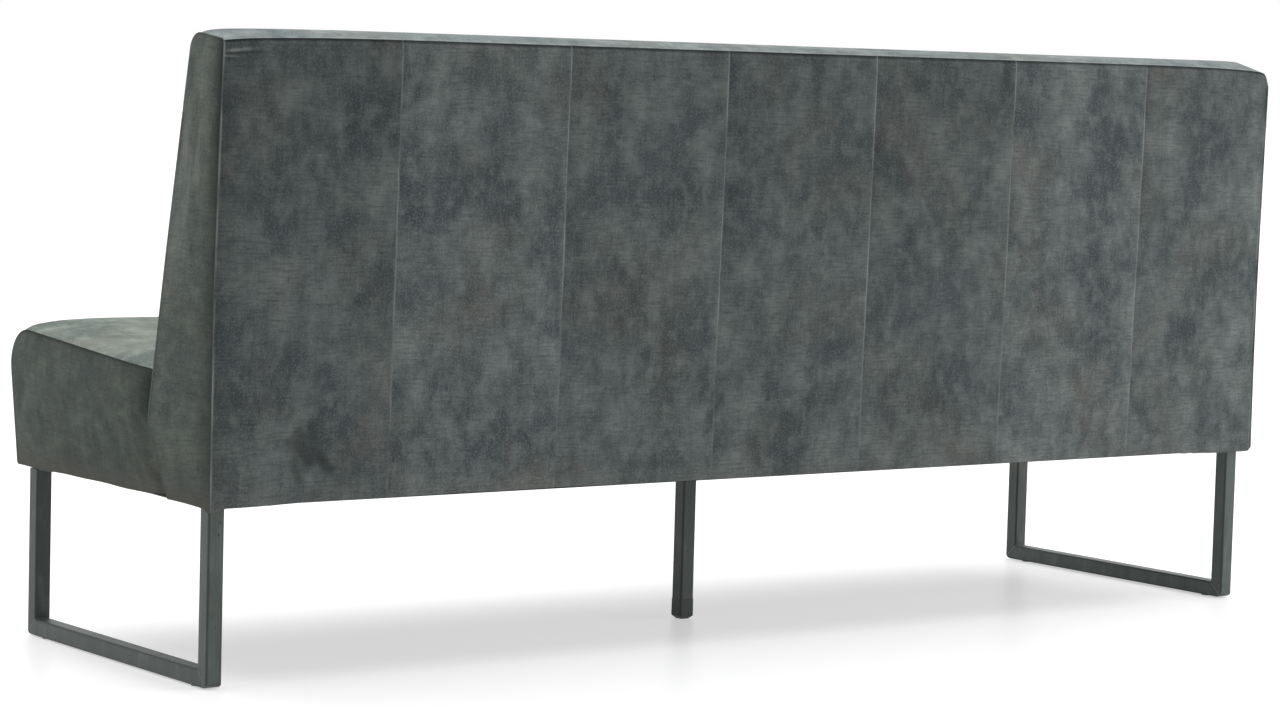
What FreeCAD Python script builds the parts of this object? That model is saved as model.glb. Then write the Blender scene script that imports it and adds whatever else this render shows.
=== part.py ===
import FreeCAD, Part
import math
import os

# Upholstered dining bench on two welded sled legs and a middle post.
# Millimetres. X runs along the bench, the sitter faces -Y, +Z is up.
# The origin is on the floor under the middle of the bench.

Vector = FreeCAD.Vector

# Overall
overall_length = 2000.0
overall_depth = 637.0
hem_height = 254.0

# Upholstery layers
fabric = 1.6
lining = 0.8
soft_gap = 0.3
turn_under = 26.0
seam_gap = 0.6
seam_roll = 1.2
side_padding = 6.0

# Crown of the padding, from an end seam inwards
crown_place_shares = (0.0, 0.06, 0.18, 0.5, 1.0)
crown_rise_shares = (0.0, 0.3, 0.66, 0.9, 1.0)

# Backrest outline, depths measured forwards from the rear top seam
back_seam_height = 892.0
rear_rake = 16.0
back_top_depth = 85.0
back_top_rise = 9.4
top_crown = 12.0
top_crown_reach = 180.0
top_radius = 24.0
front_crown_height = 600.0
front_crown_depth = 150.0
front_crown = 10.0
front_crown_blend = 95.0
lower_front_height = 352.0
lower_front_depth = 192.5
lower_front_radius = 40.0
tuck_depth = 130.5
rear_panel_count = 7

# Seat outline
seat_recess = 10.0
seat_rear_height = 420.0
seat_front_height = 453.0
seat_crown = 17.0
seat_crown_reach = 75.0
seat_nose_radius = 38.0
seat_nose_corner = 7.3
seat_front_tuck = 31.0
seat_rear_radius = 24.0
crevice = 1.0

# Timber frame
board = 22.0
frame_gap = 0.2
rib_foam = 40.0
rib_top_foam = 25.0
liner_thickness = 3.0
rear_wadding_thickness = 5.0
inner_rib_spacing = 490.0
rail_height = 50.0
middle_rail_height = 570.0
seat_front_pad = 46.5
deck_front_height = 355.0
deck_slope = 20.0
cross_rail_drop = 25.0
block_height = 40.0
front_block_depth = 90.0
end_block_length = 90.0
middle_block_length = 130.0
middle_block_depth = 84.0

# Webbing
strap_thickness = 2.0
seat_strap_width = 70.0
seat_strap_count = 16
back_strap_width = 60.0
back_straps_per_bay = 3

# Sled legs and middle post
tube = 25.0
tube_wall = 2.0
tube_radius = 3.0
sled_inset = 10.0
sled_front_inset = 62.4
sled_rear_inset = 33.4
sled_corner_radius = 12.0
middle_post_inset = 267.0
plate_thickness = 4.0
plate_margin = 2.0
end_plate_length = 100.0
plate_depth = 60.0
plate_corner_radius = 6.0
middle_plate_length = 124.0
bolt_side_steps = (55.0, 85.0)
bolt_depth_step = 42.0
middle_bolt_step = 44.0

# Floor glides and post foot
glide_thickness = 1.5
glide_radius = 9.0
glide_step = 45.0
foot_height = 14.0
foot_flare = 0.8
foot_chamfer = 5.0
foot_plug = 16.0

# Bolts and nuts
bolt_radius = 4.0
bolt_clearance = 0.5
bolt_head_radius = 7.5
bolt_head_height = 4.5
bolt_end = 3.0
nut_bore_gap = 0.1
nut_height = 6.5
bolt_window = 12.0
connector_height = 282.0
connector_spacing = 490.0
connector_pairs = 2

overrun = 20.0

half_length = overall_length / 2
rear_seam_y = overall_depth / 2
seat_half = half_length - seat_recess
middle_post_y = rear_seam_y - middle_post_inset
frame_bottom = hem_height + lining + fabric
lining_top = hem_height + lining


# Flat outlines on a plane across the bench, as (y, z) points

def meet(a, b, c, d):
    """Point where the line through a and b crosses the line through c and d."""
    ay, az = b[0] - a[0], b[1] - a[1]
    cy, cz = d[0] - c[0], d[1] - c[1]
    along = ((c[0] - a[0]) * cz - (c[1] - a[1]) * cy) / (ay * cz - az * cy)
    return (a[0] + along * ay, a[1] + along * az)


def shifted(a, b, distance):
    """Line through a and b moved to its left by a distance."""
    run_y, run_z = b[0] - a[0], b[1] - a[1]
    length = math.hypot(run_y, run_z)
    move_y, move_z = -run_z / length * distance, run_y / length * distance
    return (a[0] + move_y, a[1] + move_z), (b[0] + move_y, b[1] + move_z)


def inset(points, distances):
    """Closed outline with each side moved inwards by its own distance."""
    count = len(points)
    sides = [shifted(points[i], points[(i + 1) % count], distances[i]) for i in range(count)]
    return [meet(*sides[i - 1], *sides[i]) for i in range(count)]


def at_height(a, b, height):
    """Point at a height on the line through a and b."""
    share = (height - a[1]) / (b[1] - a[1])
    return (a[0] + share * (b[0] - a[0]), height)


def rounded_edges(x, points, radii):
    """Edges through the points of an open path at x, inner corners rounded by their radii."""
    placed = [Vector(x, y, z) for y, z in points]
    starts = [placed[0]]
    edges = []
    for before, corner, after, radius in zip(placed, placed[1:], placed[2:], radii):
        if radius == 0:
            edges.append(Part.LineSegment(starts[-1], corner).toShape())
            starts.append(corner)
            continue
        back = (before - corner).normalize()
        forth = (after - corner).normalize()
        half_angle = back.getAngle(forth) / 2
        tangent = radius / math.tan(half_angle)
        bisector = (back + forth).normalize()
        nearest = corner + bisector * (radius / math.sin(half_angle) - radius)
        first = corner + back * tangent
        last = corner + forth * tangent
        edges.append(Part.LineSegment(starts[-1], first).toShape())
        edges.append(Part.Arc(first, nearest, last).toShape())
        starts.append(last)
    edges.append(Part.LineSegment(starts[-1], placed[-1]).toShape())
    return edges


def closed_wire(x, points, radii):
    """Closed outline at x, its first corner sharp and the others rounded by their radii."""
    return Part.Wire(rounded_edges(x, points + points[:1], radii))


def slab(x_low, x_high, points, radii=None):
    """Flat board or panel cut to an outline, between two planes across the bench."""
    radii = radii or [0] * (len(points) - 1)
    face = Part.Face(closed_wire(x_low, points, radii))
    return face.extrude(Vector(x_high - x_low, 0, 0))


def ring_section(x, outer, outer_radii, inner, inner_radii):
    """Section of a wrapped layer at x: its outer path out and its inner path back."""
    edges = rounded_edges(x, outer, outer_radii)
    edges += rounded_edges(x, [outer[-1]] + inner[::-1] + [outer[0]], inner_radii[::-1])
    return Part.Wire(edges)


def box(x_low, x_high, y_low, y_high, z_low, z_high):
    size = (x_high - x_low, y_high - y_low, z_high - z_low)
    return Part.makeBox(*size, Vector(x_low, y_low, z_low))


def mirrored(shape):
    """The same piece at the other end of the bench."""
    return shape.mirror(Vector(0, 0, 0), Vector(1, 0, 0))


def crown_stations(half, reach):
    """Places along the bench, from one end to the other, each with its share of the crown."""
    steps = list(zip(crown_place_shares, crown_rise_shares))
    near = [(half - reach * place, rise) for place, rise in steps]
    far = [(-x, rise) for x, rise in reversed(near)]
    return near + [(0, crown_rise_shares[-1])] + far


# Outlines of the two upholstered units

def back_outline(crown):
    """Rear hem, rear top seam, front top, front crown, lower front and tuck."""
    top_z = back_seam_height + back_top_rise + top_crown * crown
    return [
        (rear_seam_y - rear_rake, hem_height),
        (rear_seam_y, back_seam_height),
        (rear_seam_y - back_top_depth, top_z),
        (rear_seam_y - front_crown_depth - front_crown * crown, front_crown_height),
        (rear_seam_y - lower_front_depth, lower_front_height),
        (rear_seam_y - tuck_depth, hem_height),
    ]


def back_radii(outline, depth):
    """Radii at the front top, front crown and lower front of a layer that lies a depth inside."""
    top, crown, lower = (Vector(0, y, z) for y, z in outline[2:5])
    bend = (top - crown).getAngle(crown - lower)
    crown_radius = front_crown_blend / math.tan(bend / 2)
    return [radius - depth for radius in (top_radius, crown_radius, lower_front_radius)]


def seat_outline(crown):
    """Rear hem, lower crevice, rear top, front top and front hem, clear of the backrest."""
    fullest = inset(back_outline(1.0), [0, 0, 0, -crevice, -crevice, 0])
    rear_top = seat_rear_height + seat_crown * crown
    front_top = seat_front_height + seat_crown * crown
    nose_y = -overall_depth / 2
    return [
        at_height(fullest[4], fullest[5], hem_height),
        fullest[4],
        at_height(fullest[4], fullest[3], rear_top),
        (nose_y - seat_nose_corner, front_top),
        (nose_y + seat_front_tuck, hem_height),
    ]


seat_side = seat_outline(0)
back_side = back_outline(0)

# The joint plane between seat and backrest, and the seat deck that the webbing lies on
joint_low, joint_high = seat_side[0], seat_side[1]
front_rail_y = -overall_depth / 2 + seat_front_pad
deck_low = (front_rail_y, deck_front_height)
deck_high = meet(joint_low, joint_high, deck_low, (0, deck_front_height - deck_slope))
floor_line = ((0, frame_bottom), (1, frame_bottom))


def deck_line(rise):
    return (deck_low[0], deck_low[1] + rise), (deck_high[0], deck_high[1] + rise)


def joint_line(depth):
    """Line parallel to the joint plane, a depth inside the seat."""
    return shifted(joint_low, joint_high, depth)


# Seat frame

def seat_end_layer(x_low, x_high):
    """Board or pad that closes an end of the seat, below the foam."""
    rear = joint_line(frame_gap)
    top = deck_line(strap_thickness)
    outline = [
        meet(*rear, *floor_line),
        meet(*rear, *top),
        top[0],
        (front_rail_y, frame_bottom),
    ]
    return slab(x_low, x_high, outline)


seat_pad_outer = seat_half - fabric
seat_panel_outer = seat_pad_outer - side_padding
seat_bay = seat_panel_outer - board


def seat_front_rail():
    back_y = front_rail_y + board
    outline = [
        (back_y, frame_bottom),
        meet((back_y, 0), (back_y, 1), *deck_line(0)),
        deck_low,
        (front_rail_y, frame_bottom),
    ]
    return slab(-seat_bay, seat_bay, outline)


def seat_rear_rail():
    rear, front = joint_line(frame_gap), joint_line(frame_gap + board)
    top = deck_line(0)
    outline = [meet(*rear, *floor_line), meet(*rear, *top), meet(*front, *top), meet(*front, *floor_line)]
    return cut_all(slab(-seat_bay, seat_bay, outline), connector_rods(bolt_radius + bolt_clearance))


def cross_rail(x):
    front_y = front_rail_y + board
    rear = joint_line(frame_gap + board)
    top = deck_line(-cross_rail_drop)
    outline = [
        meet(*rear, *floor_line),
        meet(*rear, *top),
        meet((front_y, 0), (front_y, 1), *top),
        (front_y, frame_bottom),
    ]
    return slab(x - board / 2, x + board / 2, outline)


def centre_cross_rail():
    """The middle rail is notched over the block that the post bolts to."""
    half_depth = middle_block_depth / 2
    low, high = middle_post_y - half_depth, middle_post_y + half_depth
    top = lining_top + block_height
    notch = box(-board, board, low - frame_gap, high + frame_gap, hem_height - overrun, top)
    return cross_rail(0).cut(notch)


def seat_straps():
    """Front-to-back webbing stapled on the front and rear rails."""
    pitch = 2 * seat_bay / seat_strap_count
    low, high = deck_line(0)
    top_low, top_high = deck_line(strap_thickness)
    inner = joint_line(frame_gap)
    outline = [meet(*inner, low, high), meet(*inner, top_low, top_high), top_low, low]
    places = [(i + 0.5) * pitch - seat_bay for i in range(seat_strap_count)]
    half_width = seat_strap_width / 2
    return [slab(x - half_width, x + half_width, outline) for x in places]


# Seat upholstery

def seat_cover():
    """Top and front in one piece, from the crevice over the nose to its hem under the front rail."""
    wires = []
    radii = [seat_rear_radius, seat_nose_radius]
    depth_radii = [radius - fabric for radius in radii]
    for x, crown in crown_stations(seat_pad_outer, seat_crown_reach):
        outline = seat_outline(crown)
        outer = inset(outline, [0, 0, 0, 0, lining])[1:]
        inner = inset(outline, [0, fabric, fabric, fabric, lining + fabric])[1:]
        hem_y = outer[-1][0] + turn_under
        outer.append((hem_y, lining_top))
        inner.append((hem_y, frame_bottom))
        wires.append(ring_section(x, outer, radii + [0], inner, [0] + depth_radii + [0, 0]))
    return Part.makeLoft(wires, True, True)


def seat_foam():
    """Foam on the webbing, running down over the front rail."""
    wires = []
    skin = fabric + soft_gap
    for x, crown in crown_stations(seat_pad_outer, seat_crown_reach):
        body = inset(seat_outline(crown), [frame_gap, skin, skin, skin, lining + fabric])
        top = deck_line(strap_thickness)
        points = [
            meet(*joint_line(frame_gap), *top),
            body[1],
            body[2],
            body[3],
            body[4],
            (front_rail_y, frame_bottom),
            top[0],
        ]
        radii = [seat_rear_radius - skin, seat_nose_radius - skin]
        wires.append(closed_wire(x, points, [0] + radii + [0, 0, 0]))
    return Part.makeLoft(wires, True, True)


def seat_side_cover():
    outline = inset(seat_side, [0, 0, 0, 0, lining])
    panel = slab(seat_pad_outer, seat_half, outline, [0, seat_rear_radius, seat_nose_radius, 0])
    front_y = outline[4][0] + turn_under + soft_gap
    rear_y = outline[0][0] - turn_under
    hem = box(seat_pad_outer - turn_under, seat_half, front_y, rear_y, lining_top, frame_bottom)
    return panel.fuse(hem).removeSplitter()


def seat_dust_cover():
    low_y = seat_side[4][0] + fabric
    high_y = seat_side[0][0] - fabric
    sheet = box(-seat_pad_outer, seat_pad_outer, low_y, high_y, hem_height, lining_top)
    return cut_all(sheet, bolt_windows())


# Backrest frame

rear_stack = fabric + rear_wadding_thickness + liner_thickness


def rib_outline(extra_front=0.0):
    """Rear bottom, rear top, front top, lower front and tuck of a rib."""
    rear, seam, top, crown, lower, tuck = back_side
    outer = [rear, seam, top, lower, tuck]
    lower_gap = fabric + soft_gap
    return inset(outer, [rear_stack, rib_top_foam, rib_foam + extra_front, lower_gap, lining + fabric])


def top_rail_outline(gap):
    """Board along the front edge at the top, set back by the webbing's thickness."""
    rib = rib_outline(strap_thickness)
    face_low, face_high = rib[3], rib[2]
    back_low, back_high = shifted(face_high, face_low, board + gap)
    level_low = ((0, face_high[1] - rail_height - gap), (1, face_high[1] - rail_height - gap))
    return [
        meet(back_low, back_high, *level_low),
        meet(back_low, back_high, rib[1], rib[2]),
        face_high,
        meet(face_low, face_high, *level_low),
    ]


def lower_rail_outline(gap):
    """Board along the joint plane, bolted to the rear rail of the seat."""
    rib = rib_outline(strap_thickness)
    face_low, face_high = rib[4], rib[3]
    back_low, back_high = shifted(face_high, face_low, board + gap)
    return [
        meet(back_low, back_high, *floor_line),
        meet(back_low, back_high, rib[2], rib[3]),
        face_high,
        face_low,
    ]


def rear_rail_outline(low_height, gap):
    """Board along the rear edge, upright, from a height up by the rail height."""
    rib = rib_outline()
    inner_low, inner_high = shifted(rib[0], rib[1], board + gap)
    low, high = low_height - gap, low_height + rail_height + gap
    return [
        at_height(rib[0], rib[1], low),
        at_height(rib[0], rib[1], high),
        at_height(inner_low, inner_high, high),
        at_height(inner_low, inner_high, low),
    ]


end_rib_outer = half_length - fabric - side_padding
back_bay = end_rib_outer - board


def end_rib():
    return slab(end_rib_outer - board, end_rib_outer, rib_outline())


def inner_rib(x):
    """Rib notched for the four rails that pass through it."""
    low, high = x - board / 2, x + board / 2
    rib = slab(low, high, rib_outline())
    wide_low, wide_high = low - overrun, high + overrun
    for outline in (top_rail_outline(frame_gap), lower_rail_outline(frame_gap)):
        rib = rib.cut(slab(wide_low, wide_high, outline))
    for height in (frame_bottom, middle_rail_height):
        rib = rib.cut(slab(wide_low, wide_high, rear_rail_outline(height, frame_gap)))
    return open_front(rib, wide_low, wide_high)


def open_front(rib, low, high):
    """Open the notches of the two front rails to the rib's front edge."""
    front, behind = rib_outline(), rib_outline(strap_thickness)
    top, lower = top_rail_outline(frame_gap), lower_rail_outline(frame_gap)
    upper_lip = [top[3], behind[2], front[2], at_height(front[3], front[2], top[3][1])]
    lower_lip = [front[3], behind[3], lower[1], meet(lower[0], lower[1], front[3], front[2])]
    rib = rib.cut(slab(low, high, upper_lip))
    return rib.cut(slab(low, high, lower_lip))


def lower_rail():
    board_piece = slab(-back_bay, back_bay, lower_rail_outline(0))
    return cut_all(board_piece, connector_rods(bolt_radius + bolt_clearance))


def back_straps():
    """Upright webbing between the ribs, stapled to the top and lower rails."""
    front, behind = rib_outline(), rib_outline(strap_thickness)
    outline = [behind[3], behind[2], front[2], front[3]]
    edges = [-back_bay, -inner_rib_spacing, 0, inner_rib_spacing, back_bay]
    half_width = back_strap_width / 2
    straps = []
    for low, high in zip(edges, edges[1:]):
        pitch = (high - low) / back_straps_per_bay
        for i in range(back_straps_per_bay):
            x = low + (i + 0.5) * pitch
            straps.append(slab(x - half_width, x + half_width, outline))
    return straps


# Backrest upholstery

def inside_back_cover():
    """Front and top in one piece, from its hem under the lower rail to the rear top seam."""
    wires = []
    for x, crown in crown_stations(half_length - fabric, top_crown_reach):
        outline = back_outline(crown)
        outer = inset(outline, [0, 0, 0, 0, 0, lining])[1:]
        inner = inset(outline, [0, fabric, fabric, fabric, fabric, lining + fabric])[1:]
        hem_y = outer[-1][0] + turn_under
        outer.append((hem_y, lining_top))
        inner.append((hem_y, frame_bottom))
        radii, depth_radii = back_radii(outline, 0), back_radii(outline, fabric)
        wires.append(ring_section(x, outer, radii + [0], inner, [0] + depth_radii + [0, 0]))
    cover = Part.makeLoft(wires, True, True)
    return cut_all(cover, connector_rods(bolt_radius + bolt_clearance))


def back_foam():
    """Foam in front of the ribs and over their tops, thin at the tuck."""
    wires = []
    skin = fabric + soft_gap
    rib = rib_outline()
    for x, crown in crown_stations(end_rib_outer, top_crown_reach):
        outline = back_outline(crown)
        body = inset(outline, [rear_stack, skin, skin, skin, skin, lining + fabric])
        points = [rib[1], body[1], body[2], body[3], body[4], rib[3], rib[2]]
        wires.append(closed_wire(x, points, [0] + back_radii(outline, skin) + [0, 0]))
    return Part.makeLoft(wires, True, True)


def rear_layer(low_x, high_x, depth, thickness, top_drop, bottom):
    """Flat layer on the rear of the backrest, a depth under the outer face."""
    face = inset(back_side, [depth, top_drop, 0, 0, 0, bottom])
    inner = inset(back_side, [depth + thickness, top_drop, 0, 0, 0, bottom])
    return slab(low_x, high_x, [face[0], face[1], inner[1], inner[0]])


def rear_cover_panels():
    """Upright fabric panels sewn side by side, each with its edges rolled into the seam."""
    width = overall_length / rear_panel_count
    panels = []
    for i in range(rear_panel_count):
        low = i * width - half_length + seam_gap / 2
        panel = rear_layer(low, low + width - seam_gap, 0, fabric, fabric + soft_gap, lining)
        outer_y = max(edge.BoundBox.YMax for edge in panel.Edges)
        seams = [e for e in panel.Edges if is_rear_upright(e, outer_y)]
        panels.append(panel.makeFillet(seam_roll, seams))
    return panels


def is_rear_upright(edge, outer_y):
    """True for the two upright edges on the outer face of a rear panel."""
    bounds = edge.BoundBox
    return bounds.ZLength > rear_rake and abs(bounds.YMax - outer_y) < fabric / 2


def rear_wadding():
    half = half_length - fabric
    return rear_layer(-half, half, fabric, rear_wadding_thickness, fabric + soft_gap, lining + fabric)


def liner_board():
    depth = fabric + rear_wadding_thickness
    return rear_layer(-end_rib_outer, end_rib_outer, depth, liner_thickness, rib_top_foam, lining + fabric)


def back_side_pad():
    skin = fabric + soft_gap
    depth = fabric + rear_wadding_thickness
    outline = inset(back_side, [depth, skin, skin, skin, skin, lining + fabric])
    outer = half_length - fabric
    return slab(outer - side_padding, outer, outline, [0] + back_radii(back_side, skin) + [0])


def back_side_cover():
    outline = inset(back_side, [fabric, 0, 0, 0, 0, lining])
    inner = half_length - fabric
    panel = slab(inner, half_length, outline, [0] + back_radii(back_side, 0) + [0])
    front_y = outline[5][0] + turn_under + soft_gap
    rear_y = outline[0][0] - turn_under
    hem = box(inner - turn_under, half_length, front_y, rear_y, lining_top, frame_bottom)
    return panel.fuse(hem).removeSplitter()


def back_dust_cover():
    low_y = back_side[5][0] + fabric
    high_y = back_side[0][0] - fabric
    half = half_length - fabric
    sheet = box(-half, half, low_y, high_y, hem_height, lining_top)
    return cut_all(sheet, bolt_windows())


# Sled legs and middle post

sled_outer = half_length - sled_inset
sled_front = sled_front_inset - overall_depth / 2
sled_rear = overall_depth / 2 - sled_rear_inset
sled_middle = (sled_front + sled_rear) / 2
post_top = hem_height - plate_thickness


def square_bar(centre, along, length, depth):
    """Square bar with rounded edges, a depth inside the faces of the tube."""
    half, radius = tube / 2 - depth, tube_radius - depth
    points = [(-half, 0), (-half, -half), (half, -half), (half, half), (-half, half)]
    profile = Part.Face(closed_wire(0, points, [radius] * (len(points) - 1)))
    body = profile.extrude(Vector(length, 0, 0))
    body.Placement = FreeCAD.Placement(centre, FreeCAD.Rotation(Vector(1, 0, 0), along))
    return body


def sled_outline(depth):
    """Side view of a sled a depth inside its faces, its two floor corners round."""
    front, rear, low = sled_front + depth, sled_rear - depth, glide_thickness + depth
    radius = sled_corner_radius - depth
    points = [
        (sled_middle, post_top),
        (front, post_top),
        (front, low),
        (rear, low),
        (rear, post_top),
    ]
    return slab(sled_outer - tube, sled_outer, points, [0, radius, radius, 0])


def sled_tube(centre, along, length):
    """Square tube of a sled, its outside and its bore both rounded at the floor corners."""
    outside = square_bar(centre, along, length, 0).common(sled_outline(0))
    bore = square_bar(centre, along, length, tube_wall).common(sled_outline(tube_wall))
    return outside.cut(bore)


def upright_zone(front):
    """Side view of one upright, cut to its mitre."""
    outer, way = (sled_front, 1) if front else (sled_rear, -1)
    inner = outer + way * tube
    points = [
        (outer, post_top),
        (outer, glide_thickness),
        (inner, glide_thickness + tube),
        (inner, post_top),
    ]
    return slab(sled_outer - tube, sled_outer, points)


def upright(front):
    y = sled_front + tube / 2 if front else sled_rear - tube / 2
    centre = Vector(sled_outer - tube / 2, y, glide_thickness)
    body = sled_tube(centre, Vector(0, 0, 1), post_top - glide_thickness)
    return body.common(upright_zone(front))


def floor_bar():
    centre = Vector(sled_outer - tube / 2, sled_front, glide_thickness + tube / 2)
    body = sled_tube(centre, Vector(0, 1, 0), sled_rear - sled_front)
    return body.cut(upright_zone(True)).cut(upright_zone(False))


def middle_post():
    centre = Vector(0, middle_post_y, foot_height)
    length = post_top - foot_height
    bore = square_bar(centre, Vector(0, 0, 1), length, tube_wall)
    return square_bar(centre, Vector(0, 0, 1), length, 0).cut(bore)


def left_glide_places():
    x = sled_outer - tube / 2
    return [(x, sled_front + glide_step), (x, sled_rear - glide_step)]


def floor_glides():
    """Thin nylon discs glued under the floor bars, near their ends."""
    left = left_glide_places()
    places = left + [(-x, y) for x, y in left]
    return [cylinder(x, y, 0, glide_radius, glide_thickness) for x, y in places]


def middle_foot():
    """Plastic foot with a chamfered sole and a plug that fills the bore of the post."""
    half = tube / 2 + foot_flare
    sole = box(-half, half, middle_post_y - half, middle_post_y + half, 0, foot_height)
    sole = sole.makeChamfer(foot_chamfer, [e for e in sole.Edges if e.BoundBox.ZMax < foot_height / 2])
    bore = tube / 2 - tube_wall - frame_gap
    y = middle_post_y
    plug = box(-bore, bore, y - bore, y + bore, foot_height, foot_height + foot_plug)
    corners = [e for e in plug.Edges if e.BoundBox.ZLength > foot_plug / 2]
    plug = plug.makeFillet(tube_radius - tube_wall, corners)
    return sole.fuse(plug)


# Leg plates, leg blocks, bolts and nuts

def cylinder(x, y, low, radius, height):
    return Part.makeCylinder(radius, height, Vector(x, y, low))


def cut_all(shape, tools):
    for tool in tools:
        shape = shape.cut(tool)
    return shape


def left_bolt_places(front):
    y = sled_front + bolt_depth_step if front else sled_rear - bolt_depth_step
    return [(sled_outer - step, y) for step in bolt_side_steps]


def middle_bolt_places():
    return [(step, middle_post_y) for step in (-middle_bolt_step, middle_bolt_step)]


def bolt_places():
    left = left_bolt_places(True) + left_bolt_places(False)
    return left + [(-x, y) for x, y in left] + middle_bolt_places()


def leg_rods(radius):
    """Round rods along the leg bolts, as tools for their holes."""
    height = plate_thickness + block_height + 2 * overrun
    return [cylinder(x, y, post_top - overrun, radius, height) for x, y in bolt_places()]


def bolt_windows():
    """Boxes over each pair of leg bolts, as tools for the openings in the dust covers."""
    places = bolt_places()
    windows = []
    for (first_x, y), (second_x, _) in zip(places[::2], places[1::2]):
        low, high = sorted((first_x, second_x))
        sides = (low - bolt_window, high + bolt_window, y - bolt_window, y + bolt_window)
        windows.append(box(*sides, hem_height - overrun, lining_top + overrun))
    return windows


def leg_plate(x_low, x_high, y_low, y_high):
    plate = box(x_low, x_high, y_low, y_high, post_top, hem_height)
    corners = [e for e in plate.Edges if e.BoundBox.ZLength > plate_thickness / 2]
    plate = plate.makeFillet(plate_corner_radius, corners)
    return cut_all(plate, leg_rods(bolt_radius + bolt_clearance))


def end_leg_plate(front):
    x_high = sled_outer - plate_margin
    y_low = sled_front + plate_margin if front else sled_rear - plate_margin - plate_depth
    return leg_plate(x_high - end_plate_length, x_high, y_low, y_low + plate_depth)


def middle_leg_plate():
    half_x, half_y = middle_plate_length / 2, plate_depth / 2
    return leg_plate(-half_x, half_x, middle_post_y - half_y, middle_post_y + half_y)


block_top = lining_top + block_height


def leg_block(x_low, x_high, y_low, y_high):
    """Hardwood block drilled right through for its two bolts."""
    block = box(x_low, x_high, y_low, y_high, lining_top, block_top)
    return cut_all(block, leg_rods(bolt_radius + bolt_clearance))


def front_leg_block():
    y_low = front_rail_y + board
    return leg_block(seat_bay - end_block_length, seat_bay, y_low, y_low + front_block_depth)


def rear_leg_block():
    y_low = lower_rail_outline(frame_gap)[0][0]
    y_high = rear_rail_outline(frame_bottom, frame_gap)[3][0] - frame_gap
    return leg_block(back_bay - end_block_length, back_bay, y_low, y_high)


def middle_leg_block():
    half_x, half_y = middle_block_length / 2, middle_block_depth / 2
    return leg_block(-half_x, half_x, middle_post_y - half_y, middle_post_y + half_y)


def hexagon():
    """Six-sided face of a bolt head or nut, about the origin."""
    turns = [math.radians(60 * i) for i in range(7)]
    corners = [Vector(bolt_head_radius * math.cos(t), bolt_head_radius * math.sin(t), 0) for t in turns]
    return Part.Face(Part.makePolygon(corners))


def bolt(length):
    """Hex bolt, standing on its head's underside at zero."""
    head = hexagon().extrude(Vector(0, 0, -bolt_head_height))
    return head.fuse(Part.makeCylinder(bolt_radius, length))


def nut():
    bore = Part.makeCylinder(bolt_radius + nut_bore_gap, nut_height)
    return hexagon().extrude(Vector(0, 0, nut_height)).cut(bore)


def leg_bolts():
    length = block_top + nut_height + bolt_end - post_top
    return [bolt(length).translate(Vector(x, y, post_top)) for x, y in bolt_places()]


def leg_nuts():
    return [nut().translate(Vector(x, y, block_top)) for x, y in bolt_places()]


# Connector bolts from the seat into the backrest

def connector_frames():
    """Place and turn of each connector: on the seat rail's inner face, square to the joint plane."""
    inner_low, inner_high = joint_line(frame_gap + board)
    y, z = at_height(inner_low, inner_high, connector_height)
    run_y, run_z = joint_high[0] - joint_low[0], joint_high[1] - joint_low[1]
    axis = Vector(0, run_z, -run_y).normalize()
    turn = FreeCAD.Rotation(Vector(0, 0, 1), axis)
    places = [(i + 0.5) * connector_spacing for i in range(connector_pairs)]
    return [FreeCAD.Placement(Vector(side * x, y, z), turn) for x in places for side in (1, -1)]


connector_grip = frame_gap + board + crevice + fabric + soft_gap + board


def placed_on(frames, shape):
    copies = []
    for frame in frames:
        copy = shape.copy()
        copy.Placement = frame
        copies.append(copy)
    return copies


def connector_rods(radius):
    rod = Part.makeCylinder(radius, connector_grip + 2 * overrun, Vector(0, 0, -overrun))
    return placed_on(connector_frames(), Part.makeCompound([rod]))


def connector_bolts():
    return placed_on(connector_frames(), Part.makeCompound([bolt(connector_grip + nut_height + bolt_end)]))


def connector_nuts():
    lifted = nut().translate(Vector(0, 0, connector_grip))
    return placed_on(connector_frames(), Part.makeCompound([lifted]))


# All pieces by name

def pair(name, shape):
    """A left piece and its twin at the right end."""
    return {"left_" + name: shape, "right_" + name: mirrored(shape)}


pieces = {}

pieces.update(pair("front_upright", upright(True)))
pieces.update(pair("rear_upright", upright(False)))
pieces.update(pair("floor_bar", floor_bar()))
pieces.update(pair("front_leg_plate", end_leg_plate(True)))
pieces.update(pair("rear_leg_plate", end_leg_plate(False)))
pieces["middle_post"] = middle_post()
pieces["middle_leg_plate"] = middle_leg_plate()
pieces["middle_foot"] = middle_foot()
pieces["floor_glides"] = floor_glides()
pieces["leg_bolts"] = leg_bolts()
pieces["leg_nuts"] = leg_nuts()

pieces.update(pair("seat_end_panel", seat_end_layer(seat_bay, seat_panel_outer)))
pieces["seat_front_rail"] = seat_front_rail()
pieces["seat_rear_rail"] = seat_rear_rail()
pieces.update(pair("cross_rail", cross_rail(inner_rib_spacing)))
pieces["centre_cross_rail"] = centre_cross_rail()
pieces.update(pair("front_leg_block", front_leg_block()))
pieces["middle_leg_block"] = middle_leg_block()
pieces["seat_webbing"] = seat_straps()
pieces["seat_foam"] = seat_foam()
pieces.update(pair("seat_side_pad", seat_end_layer(seat_panel_outer, seat_pad_outer)))
pieces["seat_cover"] = seat_cover()
pieces.update(pair("seat_side_cover", seat_side_cover()))
pieces["seat_dust_cover"] = seat_dust_cover()

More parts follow.
